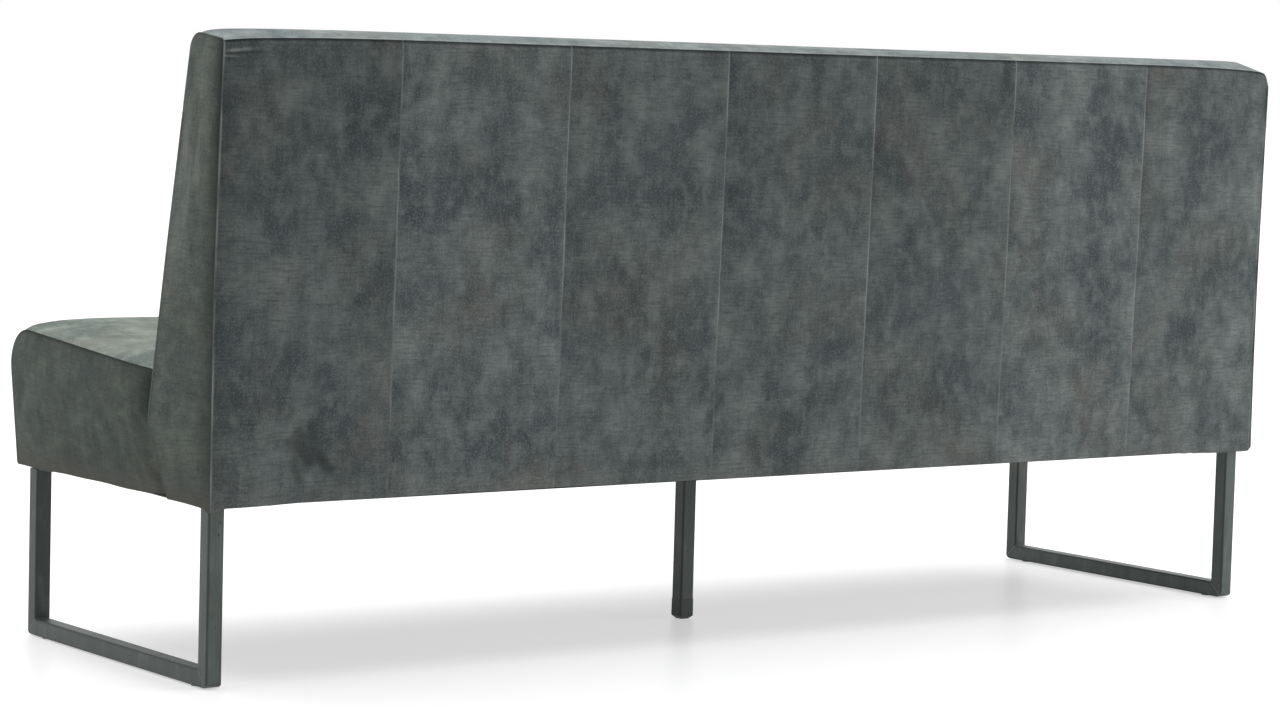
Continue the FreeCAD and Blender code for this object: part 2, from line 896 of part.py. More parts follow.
pieces.update(pair("end_rib", end_rib()))
pieces.update(pair("inner_rib", inner_rib(inner_rib_spacing)))
pieces["centre_rib"] = inner_rib(0)
pieces["back_top_rail"] = slab(-back_bay, back_bay, top_rail_outline(0))
pieces["back_middle_rail"] = slab(-back_bay, back_bay, rear_rail_outline(middle_rail_height, 0))
pieces["back_bottom_rail"] = slab(-back_bay, back_bay, rear_rail_outline(frame_bottom, 0))
pieces["back_lower_rail"] = lower_rail()
pieces.update(pair("rear_leg_block", rear_leg_block()))
pieces["back_webbing"] = back_straps()
pieces["back_foam"] = back_foam()
pieces["back_liner_board"] = liner_board()
pieces["rear_wadding"] = rear_wadding()
pieces.update(pair("back_side_pad", back_side_pad()))
pieces["inside_back_cover"] = inside_back_cover()
pieces.update(pair("back_side_cover", back_side_cover()))
pieces["rear_cover_panels"] = rear_cover_panels()
pieces["back_dust_cover"] = back_dust_cover()
pieces["connector_bolts"] = connector_bolts()
pieces["connector_nuts"] = connector_nuts()

os.makedirs("parts", exist_ok=True)
for name, shape in pieces.items():
    if isinstance(shape, list):
        shape = Part.makeCompound(shape)
    shape.exportStep("parts/" + name + ".step")
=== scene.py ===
import bpy
import numpy as np
from mathutils import Matrix, Vector


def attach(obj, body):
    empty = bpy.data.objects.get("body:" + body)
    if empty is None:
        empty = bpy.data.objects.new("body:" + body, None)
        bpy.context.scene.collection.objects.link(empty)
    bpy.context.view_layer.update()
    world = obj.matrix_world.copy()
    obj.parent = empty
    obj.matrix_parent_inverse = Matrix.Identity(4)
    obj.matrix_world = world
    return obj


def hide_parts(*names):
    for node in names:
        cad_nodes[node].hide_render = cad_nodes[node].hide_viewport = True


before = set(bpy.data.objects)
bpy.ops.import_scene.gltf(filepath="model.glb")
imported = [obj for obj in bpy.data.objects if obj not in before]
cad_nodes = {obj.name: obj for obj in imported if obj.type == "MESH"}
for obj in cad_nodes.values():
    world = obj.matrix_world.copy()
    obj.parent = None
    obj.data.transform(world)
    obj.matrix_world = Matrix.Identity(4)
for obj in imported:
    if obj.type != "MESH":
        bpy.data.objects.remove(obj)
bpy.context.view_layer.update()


# Sled legs, middle post and leg plates
# Square steel tube, cut to mitres and welded into two sleds and one post. The steel is left
# raw, brushed along the tube and sealed with a clear dark lacquer.

def linear(hex_colour):
    """Linear RGBA of an sRGB hex colour."""
    srgb = np.array([int(hex_colour[i:i + 2], 16) for i in (1, 3, 5)]) / 255
    rgb = np.where(srgb <= 0.04045, srgb / 12.92, ((srgb + 0.055) / 1.055) ** 2.4)
    return (*rgb.tolist(), 1.0)


def add(tree, kind, links=None, values=None, **settings):
    """Add one node with its settings, its socket values and its links."""
    made = tree.nodes.new(kind)
    for name, value in settings.items():
        setattr(made, name, value)
    for socket, value in (values or {}).items():
        made.inputs[socket].default_value = value
    for socket, source in (links or {}).items():
        tree.links.new(source, made.inputs[socket])
    return made


def finish_named(name, **values):
    """A material with one Principled shader: returns it, its node tree and the shader."""
    made = bpy.data.materials.new(name)
    made.use_nodes = True
    tree = made.node_tree
    tree.nodes.clear()
    named = {socket.replace("_", " "): value for socket, value in values.items()}
    shader = add(tree, "ShaderNodeBsdfPrincipled", None, named)
    add(tree, "ShaderNodeOutputMaterial", {"Surface": shader.outputs[0]})
    return made, tree, shader


def layered(tree, place, colour, layers):
    """Lay noise patterns over a colour: each layer is its size in mm across X, Y and Z, the
    noise levels where it starts and is full, its strength and its hex colour."""
    last = None
    for size, start, full, strength, tint in layers:
        per_metre = tuple(1000 / side for side in size)
        spread = add(tree, "ShaderNodeMapping", {"Vector": place}, {"Scale": per_metre})
        noise = add(tree, "ShaderNodeTexNoise", {"Vector": spread.outputs[0]},
                    {"Scale": 1.0, "Detail": 8.0, "Roughness": 0.62})
        amount = add(tree, "ShaderNodeMapRange", {"Value": noise.outputs[0]},
                     {"From Min": start, "From Max": full, "To Max": strength})
        mixed = add(tree, "ShaderNodeMix", {0: amount.outputs[0]}, {7: linear(tint)}, data_type="RGBA")
        if last is None:
            mixed.inputs[6].default_value = linear(colour)
        else:
            tree.links.new(last, mixed.inputs[6])
        last = mixed.outputs[2]
    return last


def dress(names, material):
    """Give the CAD pieces of these names one material."""
    for name in names:
        mesh = cad_nodes[name].data
        mesh.materials.clear()
        mesh.materials.append(material)


edge_start, edge_full, edge_shade = 0.0088, 0.0112, 0.7
weld_half_width, weld_shade = 0.0006, 0.0016
run_fade, run_shade = 0.0004, 0.45
chip_core, chip_rim, chip_shade = 0.0012, 0.0028, 0.7
brush_per_metre = (400, 400, 15)
brush_relief = 0.0004


def lacquered_steel(name, colour, tube_edges, mitres=(), chips=(), run_from=1.0):
    """Lacquered raw steel: a dull green-grey metal with long brush marks, cloudy mill scale, a
    darker line along the tube's edges, a thin bright weld beside a dark line at each mitre, and
    small dark chips. tube_edges holds two axes, each with the middle and half the spacing of the
    tubes' centre lines. A mitre is where y plus its sign times z has its value. Past the x given
    last, the face carries a painted shade."""
    steel, tree, shader = finish_named(name, Metallic=0.5, Coat_Weight=0.1, Coat_Roughness=0.4)
    place = add(tree, "ShaderNodeTexCoord").outputs["Object"]
    tone = layered(tree, place, colour, [
        ((30, 30, 110), 0.45, 0.65, 0.6, "#3c4341"),
        ((24, 24, 70), 0.52, 0.72, 0.5, "#6f7773"),
        ((2.2, 2.2, 60), 0.45, 0.7, 0.45, "#3a413f"),
        ((45, 45, 45), 0.56, 0.68, 0.35, "#5f5a50"),
        ((7, 7, 7), 0.64, 0.7, 0.6, "#272b2a"),
    ])
    split = add(tree, "ShaderNodeSeparateXYZ", {0: place})
    close = []
    for axis, middle, half in tube_edges:
        gap = split.outputs[axis]
        for step in (middle, half):
            gap = add(tree, "ShaderNodeMath", {0: gap}, {1: step}, operation="SUBTRACT").outputs[0]
            gap = add(tree, "ShaderNodeMath", {0: gap}, operation="ABSOLUTE").outputs[0]
        at_edge = add(tree, "ShaderNodeMapRange", {"Value": gap},
                      {"From Min": edge_start, "From Max": edge_full})
        close.append(at_edge.outputs[0])
    corner = add(tree, "ShaderNodeMath", {0: close[0], 1: close[1]}, operation="MULTIPLY")
    pool = add(tree, "ShaderNodeMath", {0: corner.outputs[0]}, {1: edge_shade}, operation="MULTIPLY")
    covers = [(pool, "#232827")]
    for sign, middle in mitres:
        height = add(tree, "ShaderNodeMath", {0: split.outputs[2]}, {1: sign}, operation="MULTIPLY")
        slant = add(tree, "ShaderNodeMath", {0: split.outputs[1], 1: height.outputs[0]}, operation="ADD")
        for off, half, tint in ((weld_shade, weld_shade, "#2b302f"), (0.0, weld_half_width, "#8b938e")):
            line = add(tree, "ShaderNodeMath", {0: slant.outputs[0]}, {1: middle + off, 2: half},
                       operation="COMPARE")
            covers.append((line, tint))
    # Painted shade on the faces past the given x, such as the middle post's face that lies in the shade of
    # the bench.
    run = add(tree, "ShaderNodeMapRange", {"Value": split.outputs[0]},
              {"From Min": run_from, "From Max": run_from + run_fade, "To Max": run_shade})
    covers.append((run, "#1f2423"))
    for spot in chips:
        gap = add(tree, "ShaderNodeVectorMath", {0: place}, {1: spot}, operation="DISTANCE")
        chip = add(tree, "ShaderNodeMapRange", {"Value": gap.outputs["Value"]},
                   {"From Min": chip_rim, "From Max": chip_core, "To Max": chip_shade})
        covers.append((chip, "#1f2423"))
    for cover, tint in covers:
        mixed = add(tree, "ShaderNodeMix", {0: cover.outputs[0], 6: tone}, {7: linear(tint)},
                    data_type="RGBA")
        tone = mixed.outputs[2]
    tree.links.new(tone, shader.inputs["Base Color"])
    spread = add(tree, "ShaderNodeMapping", {"Vector": place}, {"Scale": brush_per_metre})
    brush = add(tree, "ShaderNodeTexNoise", {"Vector": spread.outputs[0]}, {"Scale": 1.0, "Detail": 3.0})
    gloss = add(tree, "ShaderNodeMapRange", {"Value": brush.outputs[0]}, {"To Min": 0.4, "To Max": 0.62})
    tree.links.new(gloss.outputs[0], shader.inputs["Roughness"])
    relief = add(tree, "ShaderNodeBump", {"Height": brush.outputs[0]},
                 {"Strength": 0.15, "Distance": brush_relief})
    tree.links.new(relief.outputs[0], shader.inputs["Normal"])
    return steel


sides = ("left", "right")
tube_half = 0.0125
sled_x, sled_y, sled_y_half = 0.9775, 0.0145, 0.2581
bar_z = 0.014
post_y = 0.0515
post_face = tube_half - 0.0006
upright_edges = ((0, 0.0, sled_x), (1, sled_y, sled_y_half))
bar_edges = ((0, 0.0, sled_x), (2, bar_z, 0.0))
post_edges = ((0, 0.0, 0.0), (1, post_y, 0.0))
sled_mitres = ((1, 0.2866), (-1, -0.2576))
rear_chips = ((0.9724, 0.2851, 0.2305), (0.9744, 0.2851, 0.2141))
# The steel colours are painted light and shade: the rear uprights are a lighter copy, and the front
# uprights and the post are darker copies, as they stand in the shade under the seat.
rear_steel = lacquered_steel("lacquered_raw_steel_rear_upright", "#535c58", upright_edges, sled_mitres,
                             rear_chips)
front_steel = lacquered_steel("lacquered_raw_steel_front_upright", "#444b48", upright_edges, sled_mitres)
bar_steel = lacquered_steel("lacquered_raw_steel_floor_bar", "#4d5552", bar_edges, sled_mitres)
post_steel = lacquered_steel("lacquered_raw_steel_post", "#434a47", post_edges, run_from=post_face)
for part, steel in (("rear", rear_steel), ("front", front_steel)):
    dress([f"{side}_{part}_{piece}" for side in sides for piece in ("upright", "leg_plate")], steel)
dress([f"{side}_floor_bar" for side in sides], bar_steel)
dress(["middle_post", "middle_leg_plate"], post_steel)


# Floor glides and post foot
# Moulded black nylon: thin discs glued under the floor bars, and a plug with a chamfered sole
# pressed into the lower end of the middle post.

def patterned(name, colour, layers, **values):
    """A material whose colour is a base under layers of noise on Object coordinates."""
    made, tree, shader = finish_named(name, **values)
    place = add(tree, "ShaderNodeTexCoord").outputs["Object"]
    tree.links.new(layered(tree, place, colour, layers), shader.inputs["Base Color"])
    return made


# Moulded nylon: dusty black with the fine even grain of a spark-eroded mould.
nylon = patterned("moulded_black_nylon", "#3b4241", [
    ((1.2, 1.2, 1.2), 0.4, 0.7, 0.5, "#464d4c"),
    ((9, 9, 9), 0.5, 0.8, 0.4, "#2b3131"),
], Roughness=0.55, IOR=1.53)
dress(["floor_glides"], nylon)

# The profile holds half widths and heights: sole, chamfer, side, rim of the collar, inside.
foot_corner, foot_steps = 0.0035, 64
foot_profile = ((0.0078, 0.0), (0.0084, 0.0003), (0.0128, 0.0046), (0.0132, 0.0056), (0.0133, 0.0075),
                (0.0131, 0.0315), (0.0127, 0.0322), (0.0118, 0.0322), (0.0118, 0.0140))
# Each ring is a rounded square: quarter circles about the corners of a smaller square.
turn = np.linspace(0, 2 * np.pi, foot_steps, endpoint=False) + np.pi / foot_steps
circle = np.stack([np.cos(turn), np.sin(turn)], axis=1)
half, height = np.array(foot_profile).T[:, :, None, None]
rings = (half - foot_corner) * np.sign(circle) + foot_corner * circle + (0, post_y)
points = np.concatenate([rings, np.broadcast_to(height, rings.shape[:2] + (1,))], axis=2)
ids = np.arange(len(points) * foot_steps).reshape(len(points), foot_steps)
after = np.roll(ids, -1, axis=1)
quads = np.stack([ids[:-1], after[:-1], after[1:], ids[1:]], axis=-1).reshape(-1, 4)
caps = [ids[0, ::-1].tolist(), ids[-1].tolist()]
mesh = bpy.data.meshes.new("post_foot")
mesh.from_pydata(points.reshape(-1, 3).tolist(), [], quads.tolist() + caps)
mesh.materials.append(nylon)
post_foot = bpy.data.objects.new("post_foot", mesh)
bpy.context.collection.objects.link(post_foot)
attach(post_foot, "root")
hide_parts("middle_foot")


# Bolts and nuts
# Zinc plated steel, two bolts through each leg plate, and four that hold the backrest on.

# Zinc plate: pale bright metal with the small spangle of a barrel-plated fastener.
zinc = patterned("zinc_plated_steel", "#a9adae", [
    ((3, 3, 3), 0.4, 0.7, 0.5, "#8d9294"),
    ((1, 1, 1), 0.5, 0.8, 0.4, "#c3c6c5"),
], Metallic=1.0, Roughness=0.35)
dress(["leg_bolts", "leg_nuts", "connector_bolts", "connector_nuts"], zinc)


# Timber frames of the seat and the backrest
# Sawn beech boards, screwed and glued into a box for the seat and a ribbed wedge for the back,
# with a hardboard liner behind the ribs and elastic straps across the openings.

# Sawn beech: pale warm wood, grain lines a few millimetres apart along the length.
beech = patterned("sawn_beech", "#c9a67c", [
    ((160, 5, 5), 0.35, 0.75, 0.6, "#a9825a"),
    ((12, 1.5, 1.5), 0.55, 0.8, 0.5, "#8c6845"),
], Roughness=0.7)
paired_boards = ("seat_end_panel", "cross_rail", "front_leg_block", "end_rib", "inner_rib",
                 "rear_leg_block")
dress([f"{side}_{piece}" for side in sides for piece in paired_boards], beech)
dress(["seat_front_rail", "seat_rear_rail", "centre_cross_rail", "middle_leg_block", "centre_rib",
       "back_top_rail", "back_middle_rail", "back_bottom_rail", "back_lower_rail"], beech)

# Pressed hardboard: brown felted fibre, smooth on the outer face.
hardboard = patterned("pressed_hardboard", "#6d513a", [
    ((4, 4, 4), 0.4, 0.7, 0.5, "#5a4130"),
    ((1.5, 1.5, 1.5), 0.5, 0.8, 0.5, "#836549"),
], Roughness=0.6)
dress(["back_liner_board"], hardboard)

# Elastic webbing: woven dark grey strap with a rib every two millimetres.
webbing = patterned("woven_elastic_webbing", "#3c3d3b", [
    ((2, 12, 12), 0.4, 0.7, 0.7, "#555650"),
    ((1, 1, 1), 0.5, 0.8, 0.4, "#262726"),
], Roughness=0.85, Sheen_Weight=0.2)
dress(["seat_webbing", "back_webbing"], webbing)


# Seat cushion
# Foam on webbing under one length of velvet that runs from the crevice over the nose and down
# the front, with flat velvet panels sewn in at both ends and a hem stapled underneath.

arc_points = 17


def rounded(points, radii):
    """Open path through points, each inner corner replaced by an arc of its radius."""
    points = np.array(points, float)
    path = [points[:1]]
    for before, corner, after, radius in zip(points, points[1:], points[2:], radii):
        if radius == 0:
            path.append(corner[None])
            continue
        back = (before - corner) / np.linalg.norm(before - corner)
        forth = (after - corner) / np.linalg.norm(after - corner)
        half_angle = np.arccos(np.clip(back @ forth, -1, 1)) / 2
        bisector = (back + forth) / np.linalg.norm(back + forth)
        centre = corner + bisector * radius / np.sin(half_angle)
        share = np.linspace(-1, 1, arc_points)[:, None] * (np.pi / 2 - half_angle)
        side = forth - bisector * (forth @ bisector)
        side /= np.linalg.norm(side)
        path.append(centre - bisector * radius * np.cos(share) + side * radius * np.sin(share))
    path.append(points[-1:])
    return np.concatenate(path)


def along(path, places):
    """Points of a path at places given as shares of its length."""
    steps = np.linalg.norm(np.diff(path, axis=0), axis=1)
    length = np.concatenate([[0], np.cumsum(steps)])
    wanted = np.asarray(places) * length[-1]
    return np.stack([np.interp(wanted, length, path[:, k]) for k in range(path.shape[1])], axis=1)


def filled(rear, front, bottom, top, up, across):
    """Coons patch of a section: the two ruled surfaces between opposite edges, added, less the
    bilinear surface through the four corners. Indexed by place up and place across."""
    s, t = np.asarray(up)[:, None, None], np.asarray(across)[None, :, None]
    ruled = (1 - t) * rear[:, None] + t * front[:, None] + (1 - s) * bottom[None] + s * top[None]
    low = (1 - t) * rear[0] + t * front[0]
    high = (1 - t) * rear[-1] + t * front[-1]
    return ruled - (1 - s) * low - s * high


def inward(section):
    """Unit movement of a section's border towards its inside, spread over the whole section.
    The bottom border stays level."""
    rear, front, top = section[:, 0], section[:, -1], section[-1]

    def normal(edge, turn):
        """Unit normals of an edge: its direction at each point, turned by a right angle."""
        run = np.gradient(edge, axis=0)
        run /= np.linalg.norm(run, axis=1, keepdims=True)
        return np.stack([-run[:, 1], run[:, 0]], axis=1) * turn

    pull_rear, pull_front, pull_top = normal(rear, 1), normal(front, -1), normal(top, 1)
    up, across = np.linspace(0, 1, len(rear)), np.linspace(0, 1, len(top))
    pull_bottom = np.outer(1 - across, pull_rear[0]) + np.outer(across, pull_front[0])
    pull_rear[-1] = pull_top[0] = (pull_rear[-1] + pull_top[0]) / 2
    pull_front[-1] = pull_top[-1] = (pull_front[-1] + pull_top[-1]) / 2
    return filled(pull_rear, pull_front, pull_bottom, pull_top, up, across)


def lines(length, step, marks, offsets, more=()):
    """Places from 0 to a length: an even grid, with extra lines at offsets from each mark. An even
    line that comes close to an extra one is left out."""
    even = np.linspace(0, length, int(round(length / step)) + 1)
    marks, offsets = np.asarray(marks, float), np.asarray(offsets)
    beside = np.concatenate([marks[:, None] - offsets, marks[:, None] + offsets]).ravel()
    close = np.concatenate([beside, marks, more])
    close = close[(close >= 0) & (close <= length)]
    kept = even[np.abs(even[:, None] - close[None]).min(axis=1) > step * 0.3]
    return np.unique(np.round(np.concatenate([kept, close, [0, length]]), 6))


def border_distance(places):
    """Distance of each place to the nearer end of its line."""
    return np.minimum(places - places[0], places[-1] - places)


def quarter(share):
    """Fall of a quarter circle of radius 1, from 0 at a share of 0 to 1 at a share of 1."""
    return 1 - np.sqrt(1 - share ** 2)


def swept(section, grid, crown, roll):
    """Carry a section along the bench: at each place the section has its share of the crown, and
    within a roll of each end it draws in by a quarter circle. The grid holds the lines along the
    bench, up the section and across it."""
    places, up, across = grid[0], grid[1] / grid[1][-1], grid[2] / grid[2][-1]
    plain, full = section(0.0, up, across), section(1.0, up, across)
    share = crown(places)[:, None, None, None]
    drawn = roll * quarter(np.clip(1 - border_distance(places) / roll, 0, 1))[:, None, None, None]
    planes = plain + share * (full - plain) - drawn * inward(plain)
    x = np.broadcast_to(places[:, None, None, None], planes.shape[:3] + (1,))
    return np.concatenate([x, planes], axis=3)


def sides_of(shape):
    """The six faces of a lattice as index grids, each wound so that it faces outwards."""
    ids = np.arange(np.prod(shape)).reshape(shape)
    return {
        "bottom": ids[:, 0, :],
        "top": ids[:, -1, :].T,
        "rear": ids[:, :, 0].T,
        "front": ids[:, :, -1],
        "right": ids[0, :, :].T,
        "left": ids[-1, :, :],
    }


def lattice_mesh(name, lattice, cloth_places, rear_shift=0):
    """Closed mesh of a lattice's six faces, with the cloth places of each face as its UVs. The
    rear's places move by a shift for each column of quads, as where separate panels are sewn."""
    quads, places = [], []
    for side, ids in sides_of(lattice.shape[:3]).items():
        spots = cloth_places[side]
        corners = np.stack([ids[:-1, :-1], ids[1:, :-1], ids[1:, 1:], ids[:-1, 1:]], axis=-1)
        spot_corners = np.stack([spots[:-1, :-1], spots[1:, :-1], spots[1:, 1:], spots[:-1, 1:]], axis=2)
        if side == "rear":
            spot_corners = spot_corners + rear_shift
        quads.append(corners.reshape(-1, 4))
        places.append(spot_corners.reshape(-1, 2))
    used, quads = np.unique(np.concatenate(quads), return_inverse=True)
    quads = quads.reshape(-1, 4)
    mesh = bpy.data.meshes.new(name)
    mesh.from_pydata(lattice.reshape(-1, 3)[used].tolist(), [], quads.tolist())
    cloth = mesh.uv_layers.new(name="cloth")
    cloth.data.foreach_set("uv", np.concatenate(places).astype(np.float32).ravel())
    mesh.polygons.foreach_set("use_smooth", np.ones(len(quads), bool))
    return mesh, used


def swollen(lattice, pinned, cap, pressure=4.0, frames=20):
    """Movement of a lattice's skin when it is blown up as cloth with its seams held: a closed
    mesh under inner pressure for some frames, each movement softly capped."""
    flat = {side: np.zeros(ids.shape + (2,)) for side, ids in sides_of(lattice.shape[:3]).items()}
    mesh, used = lattice_mesh("skin", lattice, flat)
    skin = bpy.data.objects.new("skin", mesh)
    bpy.context.collection.objects.link(skin)
    seams = skin.vertex_groups.new(name="seams")
    held = np.flatnonzero(pinned.ravel()[used])
    seams.add(held.tolist(), 1.0, "REPLACE")
    cloth = skin.modifiers.new("cloth", "CLOTH")
    cloth.settings.use_pressure = True
    cloth.settings.uniform_pressure_force = pressure
    cloth.settings.vertex_group_mass = "seams"
    cloth.settings.effector_weights.gravity = 0.0
    cloth.settings.quality = 4
    cloth.settings.mass = 0.3
    cloth.settings.tension_stiffness = 40
    cloth.settings.compression_stiffness = 20
    cloth.settings.shear_stiffness = 20
    cloth.settings.bending_stiffness = 1.0
    cloth.collision_settings.use_collision = False
    cloth.point_cache.frame_start, cloth.point_cache.frame_end = 1, frames
    for moment in range(1, frames + 1):
        bpy.context.scene.frame_set(moment)
    settled = skin.evaluated_get(bpy.context.evaluated_depsgraph_get()).data
    spots = np.empty(len(used) * 3)
    settled.vertices.foreach_get("co", spots)
    bpy.data.objects.remove(skin)
    bpy.context.scene.frame_set(1)
    moved = np.zeros((lattice[..., 0].size, 3))
    moved[used] = spots.reshape(-1, 3) - lattice.reshape(-1, 3)[used]
    far = np.linalg.norm(moved, axis=1, keepdims=True)
    moved *= cap * np.tanh(far / cap) / np.maximum(far, 1e-9)
    return moved.reshape(lattice.shape)


def spread_over(field, coarse, fine):
    """Linear interpolation of a lattice field from coarse lines to fine lines, axis by axis."""
    for axis, (old, new) in enumerate(zip(coarse, fine)):
        low = np.clip(np.searchsorted(old, new, side="right") - 1, 0, len(old) - 2)
        share = (new - old[low]) / (old[low + 1] - old[low])
        share = share.reshape([-1 if k == axis else 1 for k in range(field.ndim)])
        field = np.take(field, low, axis) * (1 - share) + np.take(field, low + 1, axis) * share
    return field


def lattice_gaps(grid):
    """Distances of each lattice point, measured along its lines, to the nearer end of the bench,
    to the top, to the rear and to the front."""
    end, top, rear = np.meshgrid(border_distance(grid[0]), grid[1][-1] - grid[1], grid[2], indexing="ij")
    return end, top, rear, grid[2][-1] - rear


def cloth_grid(first, second):
    """Cloth places of a face from its two lines of places."""
    return np.stack(np.meshgrid(first, second, indexing="ij"), axis=-1)


def add_marks(mesh, used, **marks):
    """Store per-point marks of a lattice, such as wear and folds, on the mesh."""
    for name, values in marks.items():
        layer = mesh.attributes.new(name, "FLOAT", "POINT")
        layer.data.foreach_set("value", values.ravel()[used].astype(np.float32))


def near(distance, width):
    """1 on a seam, falling evenly to 0 over a width."""
    return np.clip(1 - np.abs(distance) / width, 0, 1)


def bell(distance, width, power=2):
    """1 at no distance, falling as exp of minus the share of the width to a power."""
    return np.exp(-(distance / width) ** power)


# Washed velvet: short dense pile on a cotton back. Crushed patches from 30 mm to 380 mm wide lie
# darker or lighter, pile streaks run along the cloth and the rows of the weave show across it,
# drawn at 3 to 5 mm because the true rows are too fine for the render. Worn seams are paler.
# Light and shade are painted in as well: painted light and shade scale the tone paler or darker,
# painted shade lies in seams, creases and nooks, painted highlights lie on fold ridges, and a
# painted warm tint of the light lies on some faces. The sheen is weaker where shade is painted
# and on brushed pile.
velvet, tree, shader = finish_named("washed_velvet", Roughness=0.9, Specular_IOR_Level=0.15,
                                    Sheen_Roughness=0.45, Sheen_Tint=linear("#c9d3cf"))
worn_patches_per_metre = (60, 9, 1)
pile_per_metre = (420, 260, 1)
pile_relief = 0.0008
place = add(tree, "ShaderNodeUVMap", uv_map="cloth").outputs[0]
tone = layered(tree, place, "#5e6667", [
    ((260, 380, 1), 0.36, 0.64, 0.92, "#41494b"),
    ((120, 155, 1), 0.4, 0.7, 0.9, "#353e41"),
    ((90, 120, 1), 0.43, 0.72, 0.84, "#848b87"),
    ((170, 200, 1), 0.5, 0.68, 0.55, "#635a53"),
    ((36, 48, 1), 0.44, 0.7, 0.5, "#323a3d"),
    ((28, 38, 1), 0.47, 0.72, 0.5, "#8a918e"),
    ((5, 50, 1), 0.5, 0.72, 0.26, "#7d8482"),
    ((5, 34, 1), 0.62, 0.7, 0.42, "#2c3235"),
    ((34, 3.4, 1), 0.47, 0.68, 0.56, "#3a4245"),
    ((3.4, 20, 1), 0.5, 0.7, 0.3, "#3d4548"),
    ((3, 3, 1), 0.5, 0.7, 0.45, "#8e9592"),
])
spread = add(tree, "ShaderNodeMapping", {"Vector": place}, {"Scale": worn_patches_per_metre})
patchy = add(tree, "ShaderNodeTexNoise", {"Vector": spread.outputs[0]}, {"Scale": 1.0, "Detail": 4.0})
shown = add(tree, "ShaderNodeMapRange", {"Value": patchy.outputs[0]},
            {"From Min": 0.38, "From Max": 0.62, "To Min": 0.06})
# This scale of the tone holds each rear panel's own tone and painted light and shade: paler where
# light falls, darker where shade falls.
nap = add(tree, "ShaderNodeAttribute", attribute_name="nap").outputs["Fac"]
nap = add(tree, "ShaderNodeMath", {0: nap}, {1: 1.0}, operation="ADD").outputs[0]
tone = add(tree, "ShaderNodeVectorMath", {0: tone, "Scale": nap}, operation="SCALE").outputs[0]
# Marks mixed over the tone: painted shade together with the brushed pile strokes, a painted warm tint of
# the light, wear together with painted highlights, and the hem stain.
for mark, tint, blend in (("fold", "#15181a", "MIX"), ("khaki", "#ffffee", "MULTIPLY"),
                          ("wear", "#a3aaa6", "MIX"), ("hem", "#5d5650", "MIX")):
    amount = add(tree, "ShaderNodeAttribute", attribute_name=mark).outputs["Fac"]
    if mark == "wear":
        broken = add(tree, "ShaderNodeMath", {0: amount, 1: shown.outputs[0]}, operation="MULTIPLY")
        amount = broken.outputs[0]
    # The sheen is weaker where shade is painted, which darkens the painted shade, and on brushed pile.
    if mark == "fold":
        sheen = add(tree, "ShaderNodeMapRange", {"Value": amount}, {"To Min": 0.4, "To Max": 0.22})
        tree.links.new(sheen.outputs[0], shader.inputs["Sheen Weight"])
    mixed = add(tree, "ShaderNodeMix", {0: amount, 6: tone}, {7: linear(tint)},
                data_type="RGBA", blend_type=blend)
    tone = mixed.outputs[2]
tree.links.new(tone, shader.inputs["Base Color"])
spread = add(tree, "ShaderNodeMapping", {"Vector": place}, {"Scale": pile_per_metre})
pile = add(tree, "ShaderNodeTexNoise", {"Vector": spread.outputs[0]}, {"Scale": 1.0, "Detail": 2.0})
relief = add(tree, "ShaderNodeBump", {"Height": pile.outputs[0]},
             {"Strength": 0.35, "Distance": pile_relief})
tree.links.new(relief.outputs[0], shader.inputs["Normal"])

hem_z = 0.2548
seat_half = 0.990
seat_height, seat_depth = 0.205, 0.455
seat_rear_hem, seat_front_hem = 0.1863, -0.2910
seat_crevice = (0.1250, 0.352)
seat_face_slope = 0.0225 / 0.248
seat_rear_top, seat_rise = 0.420, 0.0170
seat_nose = (-0.3258, 0.453)
seat_rear_radius = 0.024
seat_nose_radius, seat_nose_fill = 0.047, 0.009
seat_quick_share, seat_quick_reach, seat_slow_reach = 0.7, 0.009, 0.020
seat_edge_roll = 0.006
seat_swell = 0.007
seat_hem_roll, seat_hem_roll_depth = 0.006, 0.01
end_sink, end_sink_reach, end_sink_width = 0.007, 0.05, 0.02
hem_wave, hem_drop_reach = 0.0008, 0.13
seat_hem_drop, seat_hem_drop_depth, seat_hem_height = 0.0032, 0.065, 0.02


def near_hem(lattice, height):
    """1 at the hem, falling evenly to 0 at a height above it."""
    return np.clip(1 - (lattice[..., 2] - hem_z) / height, 0, 1)


def seat_section(crown, up, across):
    """Section of the seat: rear edge up the crevice, top, front edge, bottom. The two upper
    corners lie in the middle of their rounding."""
    top_z = seat_rear_top + seat_rise * crown
    top_rear = (seat_crevice[0] + seat_face_slope * (top_z - seat_crevice[1]), top_z)
    nose = (seat_nose[0], seat_nose[1] + seat_rise * crown)
    loop = rounded([(seat_rear_hem, hem_z), seat_crevice, top_rear, nose, (seat_front_hem, hem_z)],
                   [0, seat_rear_radius, seat_nose_radius - seat_nose_fill * crown])
    rear_corner = 2 + arc_points // 2
    nose_corner = rear_corner + arc_points
    rear = along(loop[:rear_corner + 1], up)
    top = along(loop[rear_corner:nose_corner + 1], across)
    front = along(loop[nose_corner:][::-1], up)
    bottom = along(np.array([rear[0], front[0]]), across)
    return filled(rear, front, bottom, top, up, across)


def seat_crown(places):
    """Share of the crown along the seat: a quick rise at the seam and a slow one after it."""
    gap = seat_half - np.abs(places)
    quick = seat_quick_share * np.exp(-gap / seat_quick_reach)
    return 1 - quick - (1 - seat_quick_share) * np.exp(-gap / seat_slow_reach)


